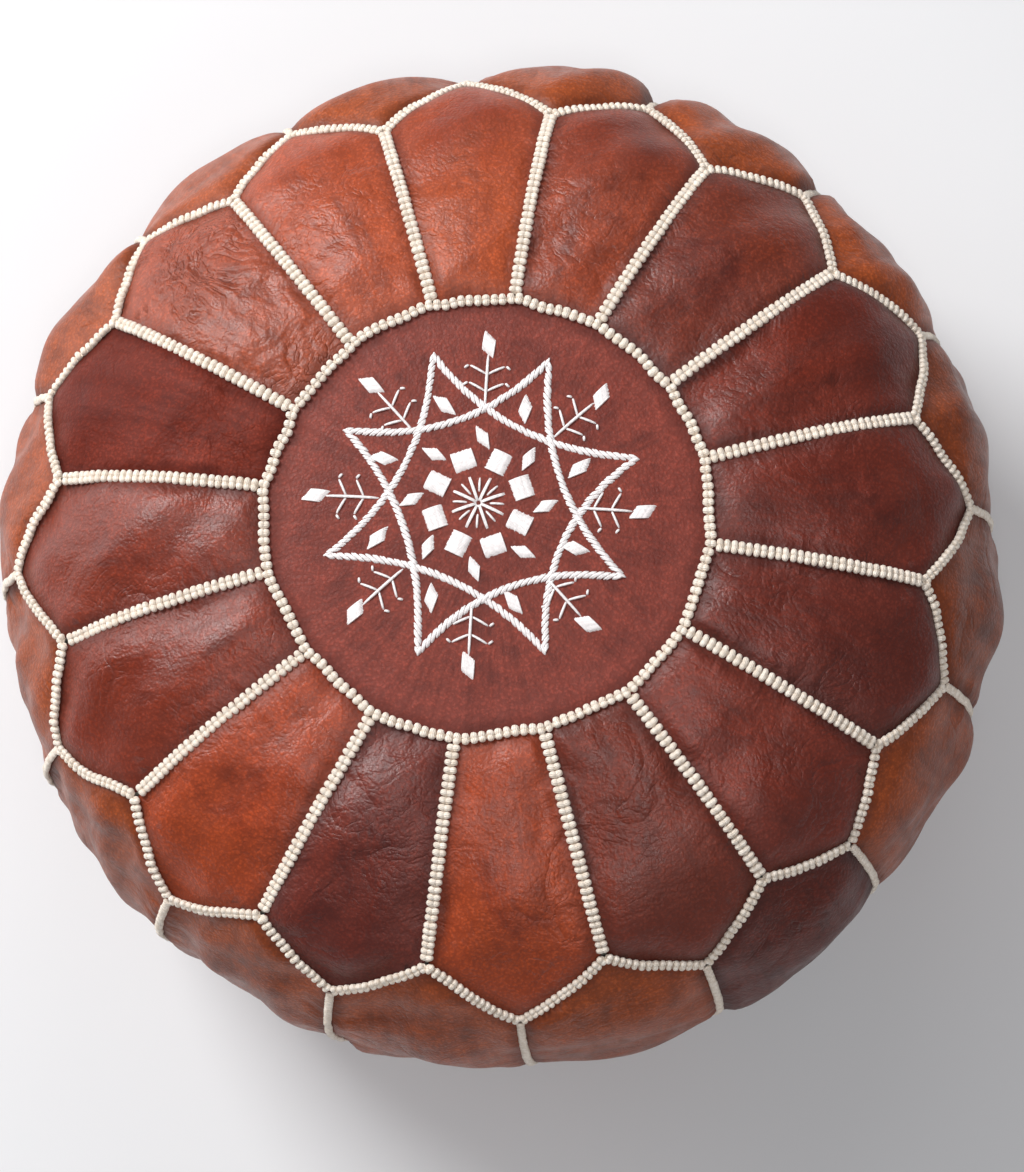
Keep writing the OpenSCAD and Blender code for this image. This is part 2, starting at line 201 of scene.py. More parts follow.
def new_group(name, inputs, outputs):
    tree = bpy.data.node_groups.new(name, "ShaderNodeTree")
    for way, labels in (("INPUT", inputs), ("OUTPUT", outputs)):
        for label in labels:
            kind = "NodeSocketVector" if label == "Place" else "NodeSocketFloat"
            tree.interface.new_socket(label, in_out=way, socket_type=kind)
    given = tree.nodes.new("NodeGroupInput").outputs
    return tree, given, tree.nodes.new("NodeGroupOutput").inputs


def place_group(tree, group, inputs):
    return add(tree, "Group", inputs, node_tree=group).outputs


# %% Grain of the hide
grain, given, put = new_group("hide_grain", ["Place", "Cells per metre"], ["Height"])
place, cells = given["Place"], given["Cells per metre"]
pebbles = add(grain, "TexVoronoi", {"Vector": place, "Scale": cells, "Randomness": 1.0})
pores = noise(grain, place, times(grain, cells, 0.8), 3.0, 0.7)["Fac"]
pressed_in = times(grain, pebbles.outputs["Distance"], -0.5)
grain.links.new(times_plus(grain, pores, 1.1, pressed_in), put["Height"])

# %% Creases that the stuffing and years of use press into the hide
creases, given, put = new_group("hide_creases", ["Place", "Folds per metre"], ["Height", "Crease shade"])
folds_per_metre = given["Folds per metre"]
drift = noise(creases, given["Place"], 18.0, 2.0)
shift = vector_maths(creases, "SUBTRACT", a=drift["Color"], b=(0.5, 0.5, 0.5))[0]
shift = vector_maths(creases, "SCALE", a=shift, by=0.06)[0]
bent = vector_maths(creases, "ADD", a=given["Place"], b=shift)[0]


def ridge(fineness, sharpness, detail):
    """Thin lines that run where a noise passes its middle value."""
    wavy = noise(creases, bent, times(creases, folds_per_metre, fineness), detail)["Fac"]
    off = maths(creases, "ABSOLUTE", maths(creases, "SUBTRACT", wavy, 0.5))
    near = maths(creases, "SUBTRACT", 1.0, times(creases, off, 2.0), clamp=True)
    return maths(creases, "POWER", near, sharpness)


long_folds, crinkles = ridge(0.6, 9.0, 1.0), ridge(2.6, 9.0, 2.0)
where = ramp(creases, drift["Fac"], 0.44, 0.62)
swell = noise(creases, bent, folds_per_metre, 2.0)["Fac"]
pressed = times_plus(creases, long_folds, 0.30, times(creases, crinkles, 0.13))
pressed = times(creases, pressed, where)
creases.links.new(maths(creases, "SUBTRACT", times(creases, swell, 0.8), pressed), put["Height"])
# Crease shade: the long folds, where the leather colour gets painted shade
creases.links.new(times(creases, long_folds, where), put["Crease shade"])

# %% Puckers, where the stitches pull the hide in: wrinkles that start at the seam and die out
puckers, given, put = new_group("seam_puckers", ["Seam place", "To seam", "Pull"], ["Height"])
lane = vector_of(puckers, given["Seam place"], times(puckers, given["To seam"], 0.22))
pleats = maths(puckers, "SUBTRACT", noise(puckers, lane, 150.0, 2.0, 0.6)["Fac"], 0.5)
puckers.links.new(times(puckers, pleats, given["Pull"]), put["Height"])

# %% Brush strokes of the dye, which run from the middle of the pouf outwards and down
strokes, given, put = new_group("dye_strokes", ["Place", "Strokes per metre"], ["Amount"])
axes = add(strokes, "SeparateXYZ", {0: given["Place"]}).outputs
turn_round = times(strokes, maths(strokes, "ARCTAN2", axes["Y"], axes["X"]), 0.19)
out_along = times(strokes, vector_maths(strokes, "LENGTH", a=given["Place"])["Value"], 0.17)
way = vector_of(strokes, turn_round, out_along, times(strokes, axes["Z"], 0.17))
hairs = noise(strokes, way, given["Strokes per metre"], 4.0, 0.62, 0.3)["Fac"]
strokes.links.new(ramp(strokes, hairs, 0.36, 0.66), put["Amount"])

# %% Patches where the dye took more or less
mottle, given, put = new_group("dye_patches", ["Place", "Patches per metre"], ["Broad", "Fine"])
place, spots = given["Place"], given["Patches per metre"]
broad = noise(mottle, place, spots, 3.0, 0.55, 1.2)["Fac"]
fine = noise(mottle, place, times(mottle, spots, 7.0), 4.0, 0.66)["Fac"]
mottle.links.new(ramp(mottle, broad, 0.34, 0.66), put["Broad"])
mottle.links.new(ramp(mottle, fine, 0.33, 0.68), put["Fine"])

# %% Near a seam: painted shade in the valley, and a rubbed crest of wear beside it
wear_and_shade, given, put = new_group("seam_wear_and_shade", ["Place", "To seam"], ["Valley", "Crest"])
ragged = noise(wear_and_shade, given["Place"], 95.0, 3.0, 0.7)["Fac"]
reach = times_plus(wear_and_shade, ragged, -0.007, maths(wear_and_shade, "ADD", given["To seam"], 0.0035))
# Valley: painted shade, a darker band in the hollow along the seam
wear_and_shade.links.new(ramp(wear_and_shade, reach, 0.001, 0.012, 1.0, 0.0), put["Valley"])
rise = ramp(wear_and_shade, reach, 0.003, 0.009)
fall = ramp(wear_and_shade, reach, 0.010, 0.026, 1.0, 0.0)
wear_and_shade.links.new(times(wear_and_shade, rise, fall), put["Crest"])

# %% Plies of a thread, and the weave of cloth
ply, given, put = new_group("thread_ply", ["Strand", "Place"], ["Height"])
fuzz = noise(ply, given["Place"], 900.0, 3.0)["Fac"]
round_ply = maths(ply, "ABSOLUTE", maths(ply, "SINE", times_plus(ply, fuzz, 1.6, given["Strand"])))
ply.links.new(times_plus(ply, fuzz, 0.35, round_ply), put["Height"])

weave, given, put = new_group("plain_weave", ["Place", "Threads per metre"], ["Height"])
threads = {"Vector": given["Place"], "Scale": given["Threads per metre"]}
threads |= {"Distortion": 0.6, "Detail": 2.0}
warp, weft = (
    add(weave, "TexWave", threads, bands_direction=way).outputs["Fac"] for way in "XY"
)
weave.links.new(maths(weave, "MAXIMUM", warp, weft), put["Height"])
print("node groups", [g.name for g in bpy.data.node_groups])


# %% [markdown]
# ## Leather
# Each petal was cut from its own goat hide and dyed by hand, so no two are alike. One function
# makes the finish, and each panel passes its own shades: the dye where it is thin, where it is
# deep, and at the panel's outer end. The shine comes from wax, which is thin beside the seams.

# %% Leather finish
def new_material(name):
    material = bpy.data.materials.new(name)
    material.use_nodes = True
    tree = material.node_tree
    place = add(tree, "TexCoord", {}).outputs["Object"]
    return material, tree, tree.nodes["Principled BSDF"], place


def read(tree, name):
    return add(tree, "Attribute", {}, attribute_name=name).outputs["Fac"]


# A last bath of tan takes a little green and blue out of every dye.
tan_bath = (1.0, 0.90, 0.84)


def dyed(dye, strength, lift=0.0):
    return [min(1, strength * x + lift) for x in dye]


def leather(
    name, thin, deep, end, seed, end_from=0.6, end_share=0.7, folds=46.0, fold_depth=0.0016,
    pucker_depth=0.0028, gloss=0.36, shine=0.45, suede=False,
):
    thin, deep, end = ([x * share for x, share in zip(dye, tan_bath)] for dye in (thin, deep, end))
    material, tree, surface, place = new_material(name)
    moved = vector_maths(tree, "ADD", a=place, b=(seed * 0.37, seed * 0.61, seed * 0.17))[0]
    seam_gap, in_panel = read(tree, "to_seam"), {"Place": moved}
    patches = place_group(tree, mottle, in_panel | {"Patches per metre": 13.0})
    brush = {"Place": place, "Strokes per metre": 70.0 + 2.0 * seed}
    brushed = place_group(tree, strokes, brush)[0]
    worn_and_shaded = place_group(tree, wear_and_shade, in_panel | {"To seam": seam_gap})
    crumple = place_group(tree, creases, in_panel | {"Folds per metre": folds})
    skin_grain = place_group(tree, grain, in_panel | {"Cells per metre": 620.0})[0]
    at_seam = {"Seam place": read(tree, "seam_place"), "To seam": seam_gap}
    pulled = place_group(tree, puckers, at_seam | {"Pull": read(tree, "pull")})[0]

    towards = times_plus(tree, patches["Broad"], 0.2, read(tree, "along"))
    towards = times_plus(tree, patches["Fine"], 0.16, towards)
    ended = ramp(tree, towards, end_from, end_from + 0.4, 0.0, end_share)
    bare_pits = ramp(tree, skin_grain, 0.20, 0.60, 0.50, 0.0)
    colour = blend_colours(tree, patches["Broad"], deep, thin)
    for share, dye in (
        (times(tree, brushed, 0.78), dyed(deep, 0.54)),
        (times(tree, patches["Fine"], 0.62), dyed(thin, 1.42)),
        (ended, end),
        (times(tree, worn_and_shaded["Crest"], 0.36), dyed(thin, 1.35, 0.01)),
        # painted shade: the deep dye, darker still, in the hollow beside each seam
        (times(tree, worn_and_shaded["Valley"], 0.6), dyed(deep, 0.35)),
        # painted shade: the deep dye darkened along the crease lines
        (times(tree, crumple["Crease shade"], 0.2), dyed(deep, 0.5)),
        (bare_pits, dyed(deep, 0.45)),
    ):
        colour = blend_colours(tree, share, colour, dye)
    rough = times_plus(tree, brushed, 0.10, gloss - 0.05)
    rough = times_plus(tree, patches["Fine"], 0.08, rough)
    rough = times_plus(tree, worn_and_shaded["Valley"], 0.15, rough)
    relief = times(tree, crumple["Height"], fold_depth)
    relief = times_plus(tree, pulled, pucker_depth, relief)
    relief = times_plus(tree, skin_grain, 0.00030, relief)
    bump(tree, surface, relief, 1.0, 1.0)
    specular, sheen = (0.2, 0.3) if suede else (shine, 0.0)
    inputs = {"Base Color": colour, "Roughness": rough, "Specular IOR Level": specular}
    fill(tree, surface, inputs | {"Sheen Weight": sheen, "Sheen Roughness": 0.5})
    return material


# %% Shades of the sixteen petals, clockwise from the far side, in thousandths: thin, deep, end
petal_dyes = [
    ((440, 85, 22), (300, 52, 14), (240, 34, 16)),
    ((330, 60, 20), (210, 34, 13), (170, 24, 10)),
    ((190, 33, 15), (120, 20, 12), (260, 44, 14)),
    ((200, 26, 10), (130, 17, 7), (100, 13, 6)),
    ((170, 24, 11), (130, 18, 9), (170, 25, 10)),
    ((170, 26, 13), (115, 17, 10), (100, 15, 7)),
    ((230, 34, 15), (160, 23, 11), (130, 19, 9)),
    ((200, 30, 12), (150, 23, 10), (160, 26, 10)),
    ((370, 60, 14), (280, 43, 13), (400, 66, 11)),
    ((180, 30, 16), (120, 19, 14), (130, 19, 10)),
    ((380, 60, 14), (270, 42, 14), (340, 56, 11)),
    ((240, 36, 13), (170, 25, 12), (190, 27, 9)),
    ((240, 36, 13), (160, 24, 12), (220, 32, 10)),
    ((190, 27, 12), (130, 18, 10), (130, 18, 9)),
    ((360, 76, 30), (250, 48, 20), (380, 64, 18)),
    ((440, 85, 26), (310, 54, 17), (380, 64, 16)),
]
dull_petal, crumpled_petal = 13, 14
petal_leathers = [
    leather(
        f"petal_leather_{k + 1:02d}", *([x / 1000 for x in dye] for dye in dyes), seed=k + 1,
        folds=60.0 if k == crumpled_petal else 44.0,
        fold_depth=0.0040 if k == crumpled_petal else 0.0018,
        gloss=0.5 if k == dull_petal else 0.36,
        shine=0.12 if k == dull_petal else 0.42,
    )
    for k, dyes in enumerate(petal_dyes)
]

# %% Shades of the side panels, which are all orange but one, and of the medallion and the base
orange, amber, chestnut = (0.45, 0.096, 0.018), (0.30, 0.060, 0.014), (0.22, 0.034, 0.010)
oxblood, plum = (0.13, 0.020, 0.010), (0.085, 0.018, 0.013)
side_warmth = (0.85, 0.9, 0.9, 0.7, 0.65, 0.8, 1, 0.8, 0.85, 0.8, 0.75, 0.8, 0.85, 0.85, 0.9, 0.85)
side_dyes = [(dyed(orange, warmth), dyed(amber, warmth), chestnut) for warmth in side_warmth]
dark_side = 6
side_dyes[dark_side] = (oxblood, plum, plum)
side_leathers = [
    leather(
        f"side_leather_{k + 1:02d}", *dyes, seed=31 + k,
        end_from=0.85, end_share=0.5, fold_depth=0.0015, pucker_depth=0.0024, shine=0.33,
    )
    for k, dyes in enumerate(side_dyes)
]
medallion_leather = leather(
    "medallion_leather", (0.245, 0.047, 0.030), (0.19, 0.034, 0.023), (0.22, 0.041, 0.027), seed=21,
    folds=20.0, fold_depth=0.0004, pucker_depth=0.0010, gloss=0.48, shine=0.27,
)
base_leather = leather(
    "base_leather", (0.20, 0.07, 0.03), (0.13, 0.045, 0.02), (0.16, 0.055, 0.025), seed=25,
    gloss=0.6, suede=True,
)
print("leathers", len(petal_leathers) + len(side_leathers) + 2)


# %% [markdown]
# ## Thread, cloth and brass
# The seams are overcast in thick waxed cotton, and the ornament is laid in white silk. Both are
# thread, so one finish with different colours, shine and ply serves them. The liner and the tapes
# of the zip are plain weave, and the zip's metal is brass, dulled in patches.

# %% Thread finish
def thread(name, colour, shade, rough, depth):
    material, tree, surface, place = new_material(name)
    fine = place_group(tree, mottle, {"Place": place, "Patches per metre": 60.0})["Fine"]
    colour = blend_colours(tree, times(tree, fine, 0.8), colour, shade)
    rough = times_plus(tree, fine, 0.15, rough)
    fill(tree, surface, {"Base Color": colour, "Roughness": rough, "Sheen Weight": 0.15})
    plies = place_group(tree, ply, {"Strand": read(tree, "strand"), "Place": place})
    bump(tree, surface, plies["Height"], 0.9, depth)
    return material


cream_cotton = thread("cream_cotton", (0.92, 0.83, 0.73), (0.70, 0.58, 0.46), 0.45, 0.00018)
white_silk = thread("white_silk", (0.92, 0.87, 0.86), (0.74, 0.69, 0.68), 0.38, 0.00012)


# %% Cloth, stuffing and brass finishes
def cloth(name, colour, shade, threads_per_metre):
    material, tree, surface, place = new_material(name)
    patches = place_group(tree, mottle, {"Place": place, "Patches per metre": 25.0})
    colour = blend_colours(tree, patches["Fine"], colour, shade)
    fill(tree, surface, {"Base Color": colour, "Roughness": 0.9, "Sheen Weight": 0.25})
    woven = place_group(tree, weave, {"Place": place, "Threads per metre": threads_per_metre})
    bump(tree, surface, woven["Height"], 0.8, 0.0003)
    return material


cotton = cloth("liner_cotton", (0.72, 0.67, 0.56), (0.62, 0.56, 0.46), 240.0)
wadding = cloth("wadding", (0.80, 0.78, 0.73), (0.66, 0.64, 0.60), 40.0)
tape_cloth = cloth("tape_cloth", (0.035, 0.022, 0.016), (0.05, 0.032, 0.024), 420.0)

aged_brass, tree, surface, place = new_material("aged_brass")
fine = place_group(tree, mottle, {"Place": place, "Patches per metre": 90.0})["Fine"]
bright, dulled = (0.72, 0.52, 0.22), (0.30, 0.19, 0.07)
colour = blend_colours(tree, times(tree, fine, 0.6), bright, dulled)
rough = times_plus(tree, fine, 0.25, 0.22)
fill(tree, surface, {"Base Color": colour, "Roughness": rough, "Metallic": 1.0})
bump(tree, surface, noise(tree, place, 1500.0, 3.0)["Fac"], 0.4, 0.00005)

# %% [markdown]
# ## The skin
# Seen from the side, the stuffed cover is a flat top that rolls over a full shoulder into the side
# and tucks under to the floor. One curve from the middle of the top down to the base holds that
# outline, and every point of the cover is an angle round the axis and a distance along that curve.
# The seams are rows and columns of one grid, so each panel is a block of the grid, and neighbours
# share the vertices of their seam.

# %% Outline of the stuffed body
top_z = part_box("medallion")[1].z
ring_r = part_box("medallion")[1].x + 0.0005
body_r, wide_z, flat_r, foot_r = 0.2552, 0.170, 0.088, 0.190
petal_r, tip_r, base_seam_r = 0.215, 0.237, 0.215
dish_r, dish_flat_r, dish_z = 0.170, 0.155, 0.008
shoulder_curve, foot_curve = 2.35, 2.2

latitude = np.radians(np.linspace(90, -90, 721))
top_half = latitude >= 0
power = 2 / np.where(top_half, shoulder_curve, foot_curve)
reach = np.where(top_half, body_r - flat_r, body_r - foot_r)
drop = np.where(top_half, top_z - wide_z, -wide_z)
outline_r = np.where(top_half, flat_r, foot_r) + reach * np.cos(latitude).clip(0) ** power
outline_z = wide_z + drop * np.abs(np.sin(latitude)) ** power
outline_r, outline_z = np.r_[0, outline_r], np.r_[top_z, outline_z]
outline_s = np.r_[0, np.cumsum(np.hypot(np.diff(outline_r), np.diff(outline_z)))]
widest = int(outline_r.argmax())
s_ring, s_petal, s_tip = np.interp([ring_r, petal_r, tip_r], outline_r[:widest], outline_s[:widest])
s_base = np.interp(base_seam_r, outline_r[:widest:-1], outline_s[:widest:-1])
print("ring, petal corner, petal point and base seam, down the outline, mm:",
      [round(1000 * float(place)) for place in (s_ring, s_petal, s_tip, s_base)])


def on_body(angle, s):
    r, z = np.interp(s, outline_s, outline_r), np.interp(s, outline_s, outline_z)
    return np.stack([r * np.cos(angle), r * np.sin(angle), z], -1)


# %% Hand-sewn unevenness of the seams
petals, columns, petal_rows, side_rows = 16, 256, 20, 46
per_petal = columns // petals
column = np.arange(columns)
true_angle = np.radians(101.25 - column * 360 / columns)
corner_reach = np.array([-4, 1, -3, -2, 1, -1, 1, 3, 2, -1, 2, 0, 0, 0, 3, -2]) / 1000
tip_reach = np.array([8, 1, -1, 5, 4, -3, -7, -4, 1, -2, 0, 2, 2, 0, -1, -2]) / 1000


def waver(size, waves=5):
    phase = rng.uniform(0, 2 * np.pi, waves)
    strength = rng.normal(0, 1, waves) / np.sqrt(waves)
    wave = sum(strength[i] * np.sin((i + 2) * true_angle + phase[i]) for i in range(waves))
    return size * wave


zigzag = np.stack([s_petal + corner_reach, s_tip + tip_reach], 1).ravel()
half_petals = np.arange(0, columns + 1, per_petal // 2)
edge_s = np.interp(column, half_petals, np.append(zigzag, zigzag[0]))
across_petal = column % per_petal / per_petal
ring_s = s_ring - 0.0062 * across_petal * (1 - across_petal) + waver(0.0012) + waver(0.0005, 40)
edge_s += waver(0.0008, 50)
base_s = s_base + waver(0.0015)
ring_angle = true_angle + waver(0.0025) / ring_r
edge_angle = true_angle + waver(0.003) / petal_r
base_angle = true_angle + waver(0.004) / base_seam_r
print("petal points reach out by", (1000 * tip_reach).astype(int).tolist(), "mm")


# %% Grid of the petals and side panels
def between(a, b, t):
    return a + (b - a) * t


def quads_of(ids, closed=True):
    """Four-sided faces of a grid of points. A closed grid joins its last column to its first."""
    if closed:
        ids = np.column_stack([ids, ids[:, 0]])
    return np.stack([ids[:-1, :-1], ids[:-1, 1:], ids[1:, 1:], ids[1:, :-1]], -1).reshape(-1, 4)


grid = [
    on_body(between(ring_angle, edge_angle, t), between(ring_s, edge_s, t))
    for t in np.arange(petal_rows + 1) / petal_rows
] + [
    on_body(between(edge_angle, base_angle, t), between(edge_s, base_s, t))
    for t in np.arange(1, side_rows + 1) / side_rows
]
rows = len(grid)
grid = np.array(grid)
row_ids = np.arange(rows * columns).reshape(rows, columns)
row_number, column_number = np.divmod(np.arange((rows - 1) * columns), columns)
petal_of = column_number // per_petal + 1
side_of = (column_number - per_petal // 2) // per_petal % petals + 1
first_side = 101
panel_of = np.where(row_number < petal_rows, petal_of, first_side - 1 + side_of)

# %% Grid of the medallion: a square sheet whose rings grow by eight points each, up to the columns
half = columns // 8
i, j = np.meshgrid(np.arange(-half, half + 1), np.arange(-half, half + 1), indexing="ij")
ring = np.maximum(abs(i), abs(j))
three_sides = [j + ring, 3 * ring - i, 5 * ring - j]
step = np.select([i == ring, j == ring, i == -ring], three_sides, i + 7 * ring)
step %= np.maximum(8 * ring, 1)
turn = step * half / np.maximum(ring, 1)
full_turn = np.append(ring_angle, ring_angle[0] - 2 * np.pi)
turn_angle = np.interp(turn, np.arange(columns + 1), full_turn)
rim_s = np.interp(turn, np.arange(columns + 1), np.append(ring_s, ring_s[0]))
disc = on_body(turn_angle, rim_s * ring / half)
inner_ids = row_ids.size + np.cumsum(ring < half).reshape(ring.shape) - 1
disc_faces = quads_of(np.where(ring == half, step, inner_ids), closed=False)

points = np.concatenate([grid.reshape(-1, 3), disc[ring < half]])
faces = np.concatenate([quads_of(row_ids), disc_faces])
panel_of = np.append(panel_of, np.zeros(len(disc_faces), int))
print("skin", len(points), "points,", len(faces), "faces")

# %% [markdown]
# The stitches hold the seams in, so the seam lines are drawn a little below the outline. How far a
# point lies from the nearest seam says how far the stuffing can lift it.

# %% Where the seams run
corner_columns = np.arange(0, columns, per_petal)
tip_columns = corner_columns + per_petal // 2
seam_lines = {
    "ring": [row_ids[0]],
    "petal": [row_ids[: petal_rows + 1, c] for c in corner_columns],
    "crown": [row_ids[petal_rows]],
    "side": [row_ids[petal_rows:, c] for c in tip_columns],
    "base": [row_ids[-1]],
}
seam_ids = np.unique(np.concatenate([line for lines in seam_lines.values() for line in lines]))
gaps, nearest = [], []
for lines in seam_lines.values():
    ids = np.concatenate(lines)
    tree_of_seam = KDTree(len(ids))
    for v in ids:
        tree_of_seam.insert(points[v], v)
    tree_of_seam.balance()
    found = [tree_of_seam.find(p)[1:] for p in points]
    nearest.append([f[0] for f in found])
    gaps.append([f[1] for f in found])
gaps, nearest = np.array(gaps), np.array(nearest)
closest = gaps.argmin(0)
to_seam, to_second = np.sort(gaps, 0)[:2]
row_step, column_shift = 0.006, 0.37
seam_radius = {"ring": ring_r, "crown": petal_r, "base": base_seam_r}
seam_place = np.zeros(len(points))
for n, name in enumerate(seam_lines):
    row, col = np.divmod(nearest[n], columns)
    if name in seam_radius:
        here = true_angle[col] * seam_radius[name]
    else:
        here = row * row_step + col * column_shift
    seam_place = np.where(closest == n, here, seam_place)

# %% [markdown]
# A seam pulls pleats into the leather beside it, but not where another seam is nearly as close.
# The cover is taut at the near left, and its side bulges most at the far side, where the stuffing
# has settled.

# %% Pull of the stitches, and the lift of the leather between them
pull = np.clip((to_second - to_seam - 0.007) / 0.008, 0, 1)
pull *= (1 - np.clip(to_seam / 0.022, 0, 1)) ** 1.5


def skin_normals(places):
    a, b, c, d = (places[faces[:, n]] for n in range(4))
    flat = np.cross(c - a, d - b)
    total = np.zeros_like(places)
    for n in range(4):
        np.add.at(total, faces[:, n], flat)
    total /= np.linalg.norm(total, axis=1, keepdims=True)
    outside = (total * (places - [0, 0, 0.15])).sum()
    return -total if outside < 0 else total


outward = skin_normals(points)
on_medallion = np.zeros(len(points), bool)
on_medallion[np.unique(disc_faces)] = True
on_side = np.arange(len(points)) // columns >= petal_rows
on_side[row_ids.size :] = False
x, y = points[:, 0], points[:, 1]
taut = (0.5 + 0.5 * np.cos(np.arctan2(y, x) - math.radians(225))) ** 3
seam_depth = np.where(on_side, 0.0036 * (1 - taut), 0.0030)
plump = np.where(on_medallion, 0.0015, np.where(on_side, 0.0045 - 0.0070 * taut, 0.004))
lift = plump * (1 - np.exp(-to_seam / 0.012))


def lump():
    size, way, per_metre = rng.normal(0, 1), rng.normal(0, 1, 3), rng.uniform(35, 110)
    return size * np.sin(points @ way * per_metre + rng.uniform(0, 6))


lumps = sum(lump() for n in range(16))
lumpy = np.where(on_medallion, 0, np.where(on_side, 0.0006, 0.0004))
lift += lumpy * lumps * (to_seam > 0.004)
settled = y / np.maximum(np.hypot(x, y), 1e-9)
bulge = 0.006 * settled.clip(0) ** 2 + 0.002 * settled.clip(None, 0) ** 2
lift += np.where(on_side, bulge, 0) * (1 - np.exp(-to_seam / 0.02))
pleats = sum(np.sin(seam_place * rng.uniform(200, 420) + rng.uniform(0, 6)) for n in range(5))
pleated = np.where(on_medallion, 0.0001, np.where(on_side, 0.0007, 0.0005))
lift += pleated * pleats * pull * (1.35 - np.exp(-to_seam / 0.004))
start = points + outward * (lift - seam_depth)[:, None]
print("seam points", len(seam_ids), "farthest point from a seam, mm", round(1000 * to_seam.max()))

# %% [markdown]
# ## Stuffing the cover
# The cover is sewn a little too big for its seams, then packed hard. Cloth simulation does the
# same: the seams are pinned, the leather between them is made a few per cent too large, and a
# pressure from inside fills it. The slack gathers into puckers along the stitches.


# %% Blow the skin out between its pinned seams
def stuffed(places):
    mesh = bpy.data.meshes.new("stuffed_skin")
    mesh.from_pydata(places.tolist(), [], faces.tolist())
    if skin_normals(places)[0] @ Vector(mesh.vertices[0].normal) < 0:
        mesh.flip_normals()
    skin = new_object("stuffed_skin", mesh)
    seams = skin.vertex_groups.new(name="seams")
    seams.add(seam_ids.tolist(), 1.0, "REPLACE")
    slack = skin.vertex_groups.new(name="slack")
    for share, members in ((0.08, on_medallion), (1.0, ~on_medallion)):
        slack.add(np.flatnonzero(members).tolist(), share, "REPLACE")
    pack = skin.modifiers.new("pack", "CLOTH")
    for key, value in {
        "quality": 6, "mass": 0.4, "tension_stiffness": 30, "compression_stiffness": 30,
        "shear_stiffness": 12, "bending_stiffness": 1.2, "vertex_group_mass": "seams",
        "pin_stiffness": 1.0, "use_pressure": True, "uniform_pressure_force": 6.0,
        "shrink_min": 0.0, "shrink_max": -0.030, "vertex_group_shrink": "slack",
    }.items():
        setattr(pack.settings, key, value)
    pack.settings.effector_weights.gravity = 0
    pack.collision_settings.use_collision = False
    pack.collision_settings.use_self_collision = False
    moments = 22
    pack.point_cache.frame_start, pack.point_cache.frame_end = 1, moments
    for moment in range(1, moments + 1):
        bpy.context.scene.frame_set(moment)
    filled = skin.evaluated_get(bpy.context.evaluated_depsgraph_get()).to_mesh()
    after = np.empty(len(places) * 3, np.float32)
    filled.vertices.foreach_get("co", after)
    bpy.context.scene.frame_set(1)
    bpy.data.objects.remove(skin)
    return after.reshape(-1, 3).astype(float)


farthest_lift = 0.014
filled = stuffed(start)
moved = filled - start
far = np.linalg.norm(moved, axis=1, keepdims=True)
filled = start + moved * np.minimum(1, farthest_lift / np.maximum(far, 1e-9))
outward = skin_normals(filled)
lifted = 1000 * ((filled - points) * outward).sum(1)
print("the leather is lifted by %.1f mm at most, %.1f on average" % (lifted.max(), lifted.mean()))


# %% [markdown]
# ## Panels
# Each panel is its block of the skin, given the thickness of the hide, with its edges rounded over
# by one level of subdivision. Four values travel with its points for the leather finish: how far
# the point is from a seam, its place along that seam, how hard the stitches pull there, and how far
# along the panel it lies.


def keep_piece(piece, material, node):
    piece.data.materials.append(material)
    piece.data.polygons.foreach_set("use_smooth", np.ones(len(piece.data.polygons), bool))
    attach(piece, cover)
    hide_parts(node)
    return piece


def new_piece(name, places, corners):
    mesh = bpy.data.meshes.new(name)
    mesh.from_pydata(np.asarray(places).tolist(), [], [list(map(int, c)) for c in corners])
    mesh.update()
    return new_object(name, mesh)


def note(piece, **noted):
    for name, values in noted.items():
        attribute = piece.data.attributes.new(name, "FLOAT", "POINT").data
        attribute.foreach_set("value", np.asarray(values, np.float32).ravel())


def thicken(piece, rounded):
    hide = piece.modifiers.new("hide", "SOLIDIFY")
    hide.thickness, hide.offset = 0.0016, -1
    if rounded:
        edge = piece.modifiers.new("turned_edge", "SUBSURF")
        edge.levels = edge.render_levels = 1


along = np.zeros(len(points))
down_panel = np.r_[np.arange(petal_rows + 1) / petal_rows, np.arange(1, side_rows + 1) / side_rows]
along[: row_ids.size] = np.repeat(down_panel, columns)


def panel(name, number, material):
    block = faces[panel_of == number]
    used, corners = np.unique(block, return_inverse=True)
    corners = corners.reshape(block.shape)
    a, b, c = (filled[used[corners[0, n]]] for n in range(3))
    if np.cross(b - a, c - a) @ outward[used[corners[0, 0]]] < 0:
        corners = corners[:, ::-1]
    piece = new_piece(name + "_hide", filled[used], corners)
    own_points = used >= row_ids[petal_rows, 0] if number >= first_side else 1
    note(piece, to_seam=to_seam[used], seam_place=seam_place[used], pull=pull[used])
    note(piece, along=along[used] * own_points)
    thicken(piece, rounded=True)
    keep_piece(piece, material, name)


panel("medallion", 0, medallion_leather)
for k in range(petals):
    panel(f"petal_{k + 1:02d}", k + 1, petal_leathers[k])
    panel(f"side_panel_{k + 1:02d}", first_side + k, side_leathers[k])
print("panels", 1 + 2 * petals)

# %% [markdown]
# ## Braided seams
# A sewer goes over each seam with thick waxed thread. Every stitch shows as two plump lobes that
# meet in the middle, so close that the seam reads as a row of beads. On the side, the thread is
# laid flatter and tighter, like a band. The lobes are real geometry, because their round shadows
# are what the eye sees.


# %% Follow a seam line and lay lobes along it
def distances(places):
    """How far along a line of points each point lies."""
    return np.r_[0, np.cumsum(np.linalg.norm(np.diff(places, axis=0), axis=1))]


def values_at(at, length, values):
    return np.stack([np.interp(at, length, column) for column in values.T], -1)


def unit(vectors):
    return vectors / np.linalg.norm(vectors, axis=-1, keepdims=True)


def soften(values):
    values[1:-1] = (values[:-2] + 2 * values[1:-1] + values[2:]) / 4


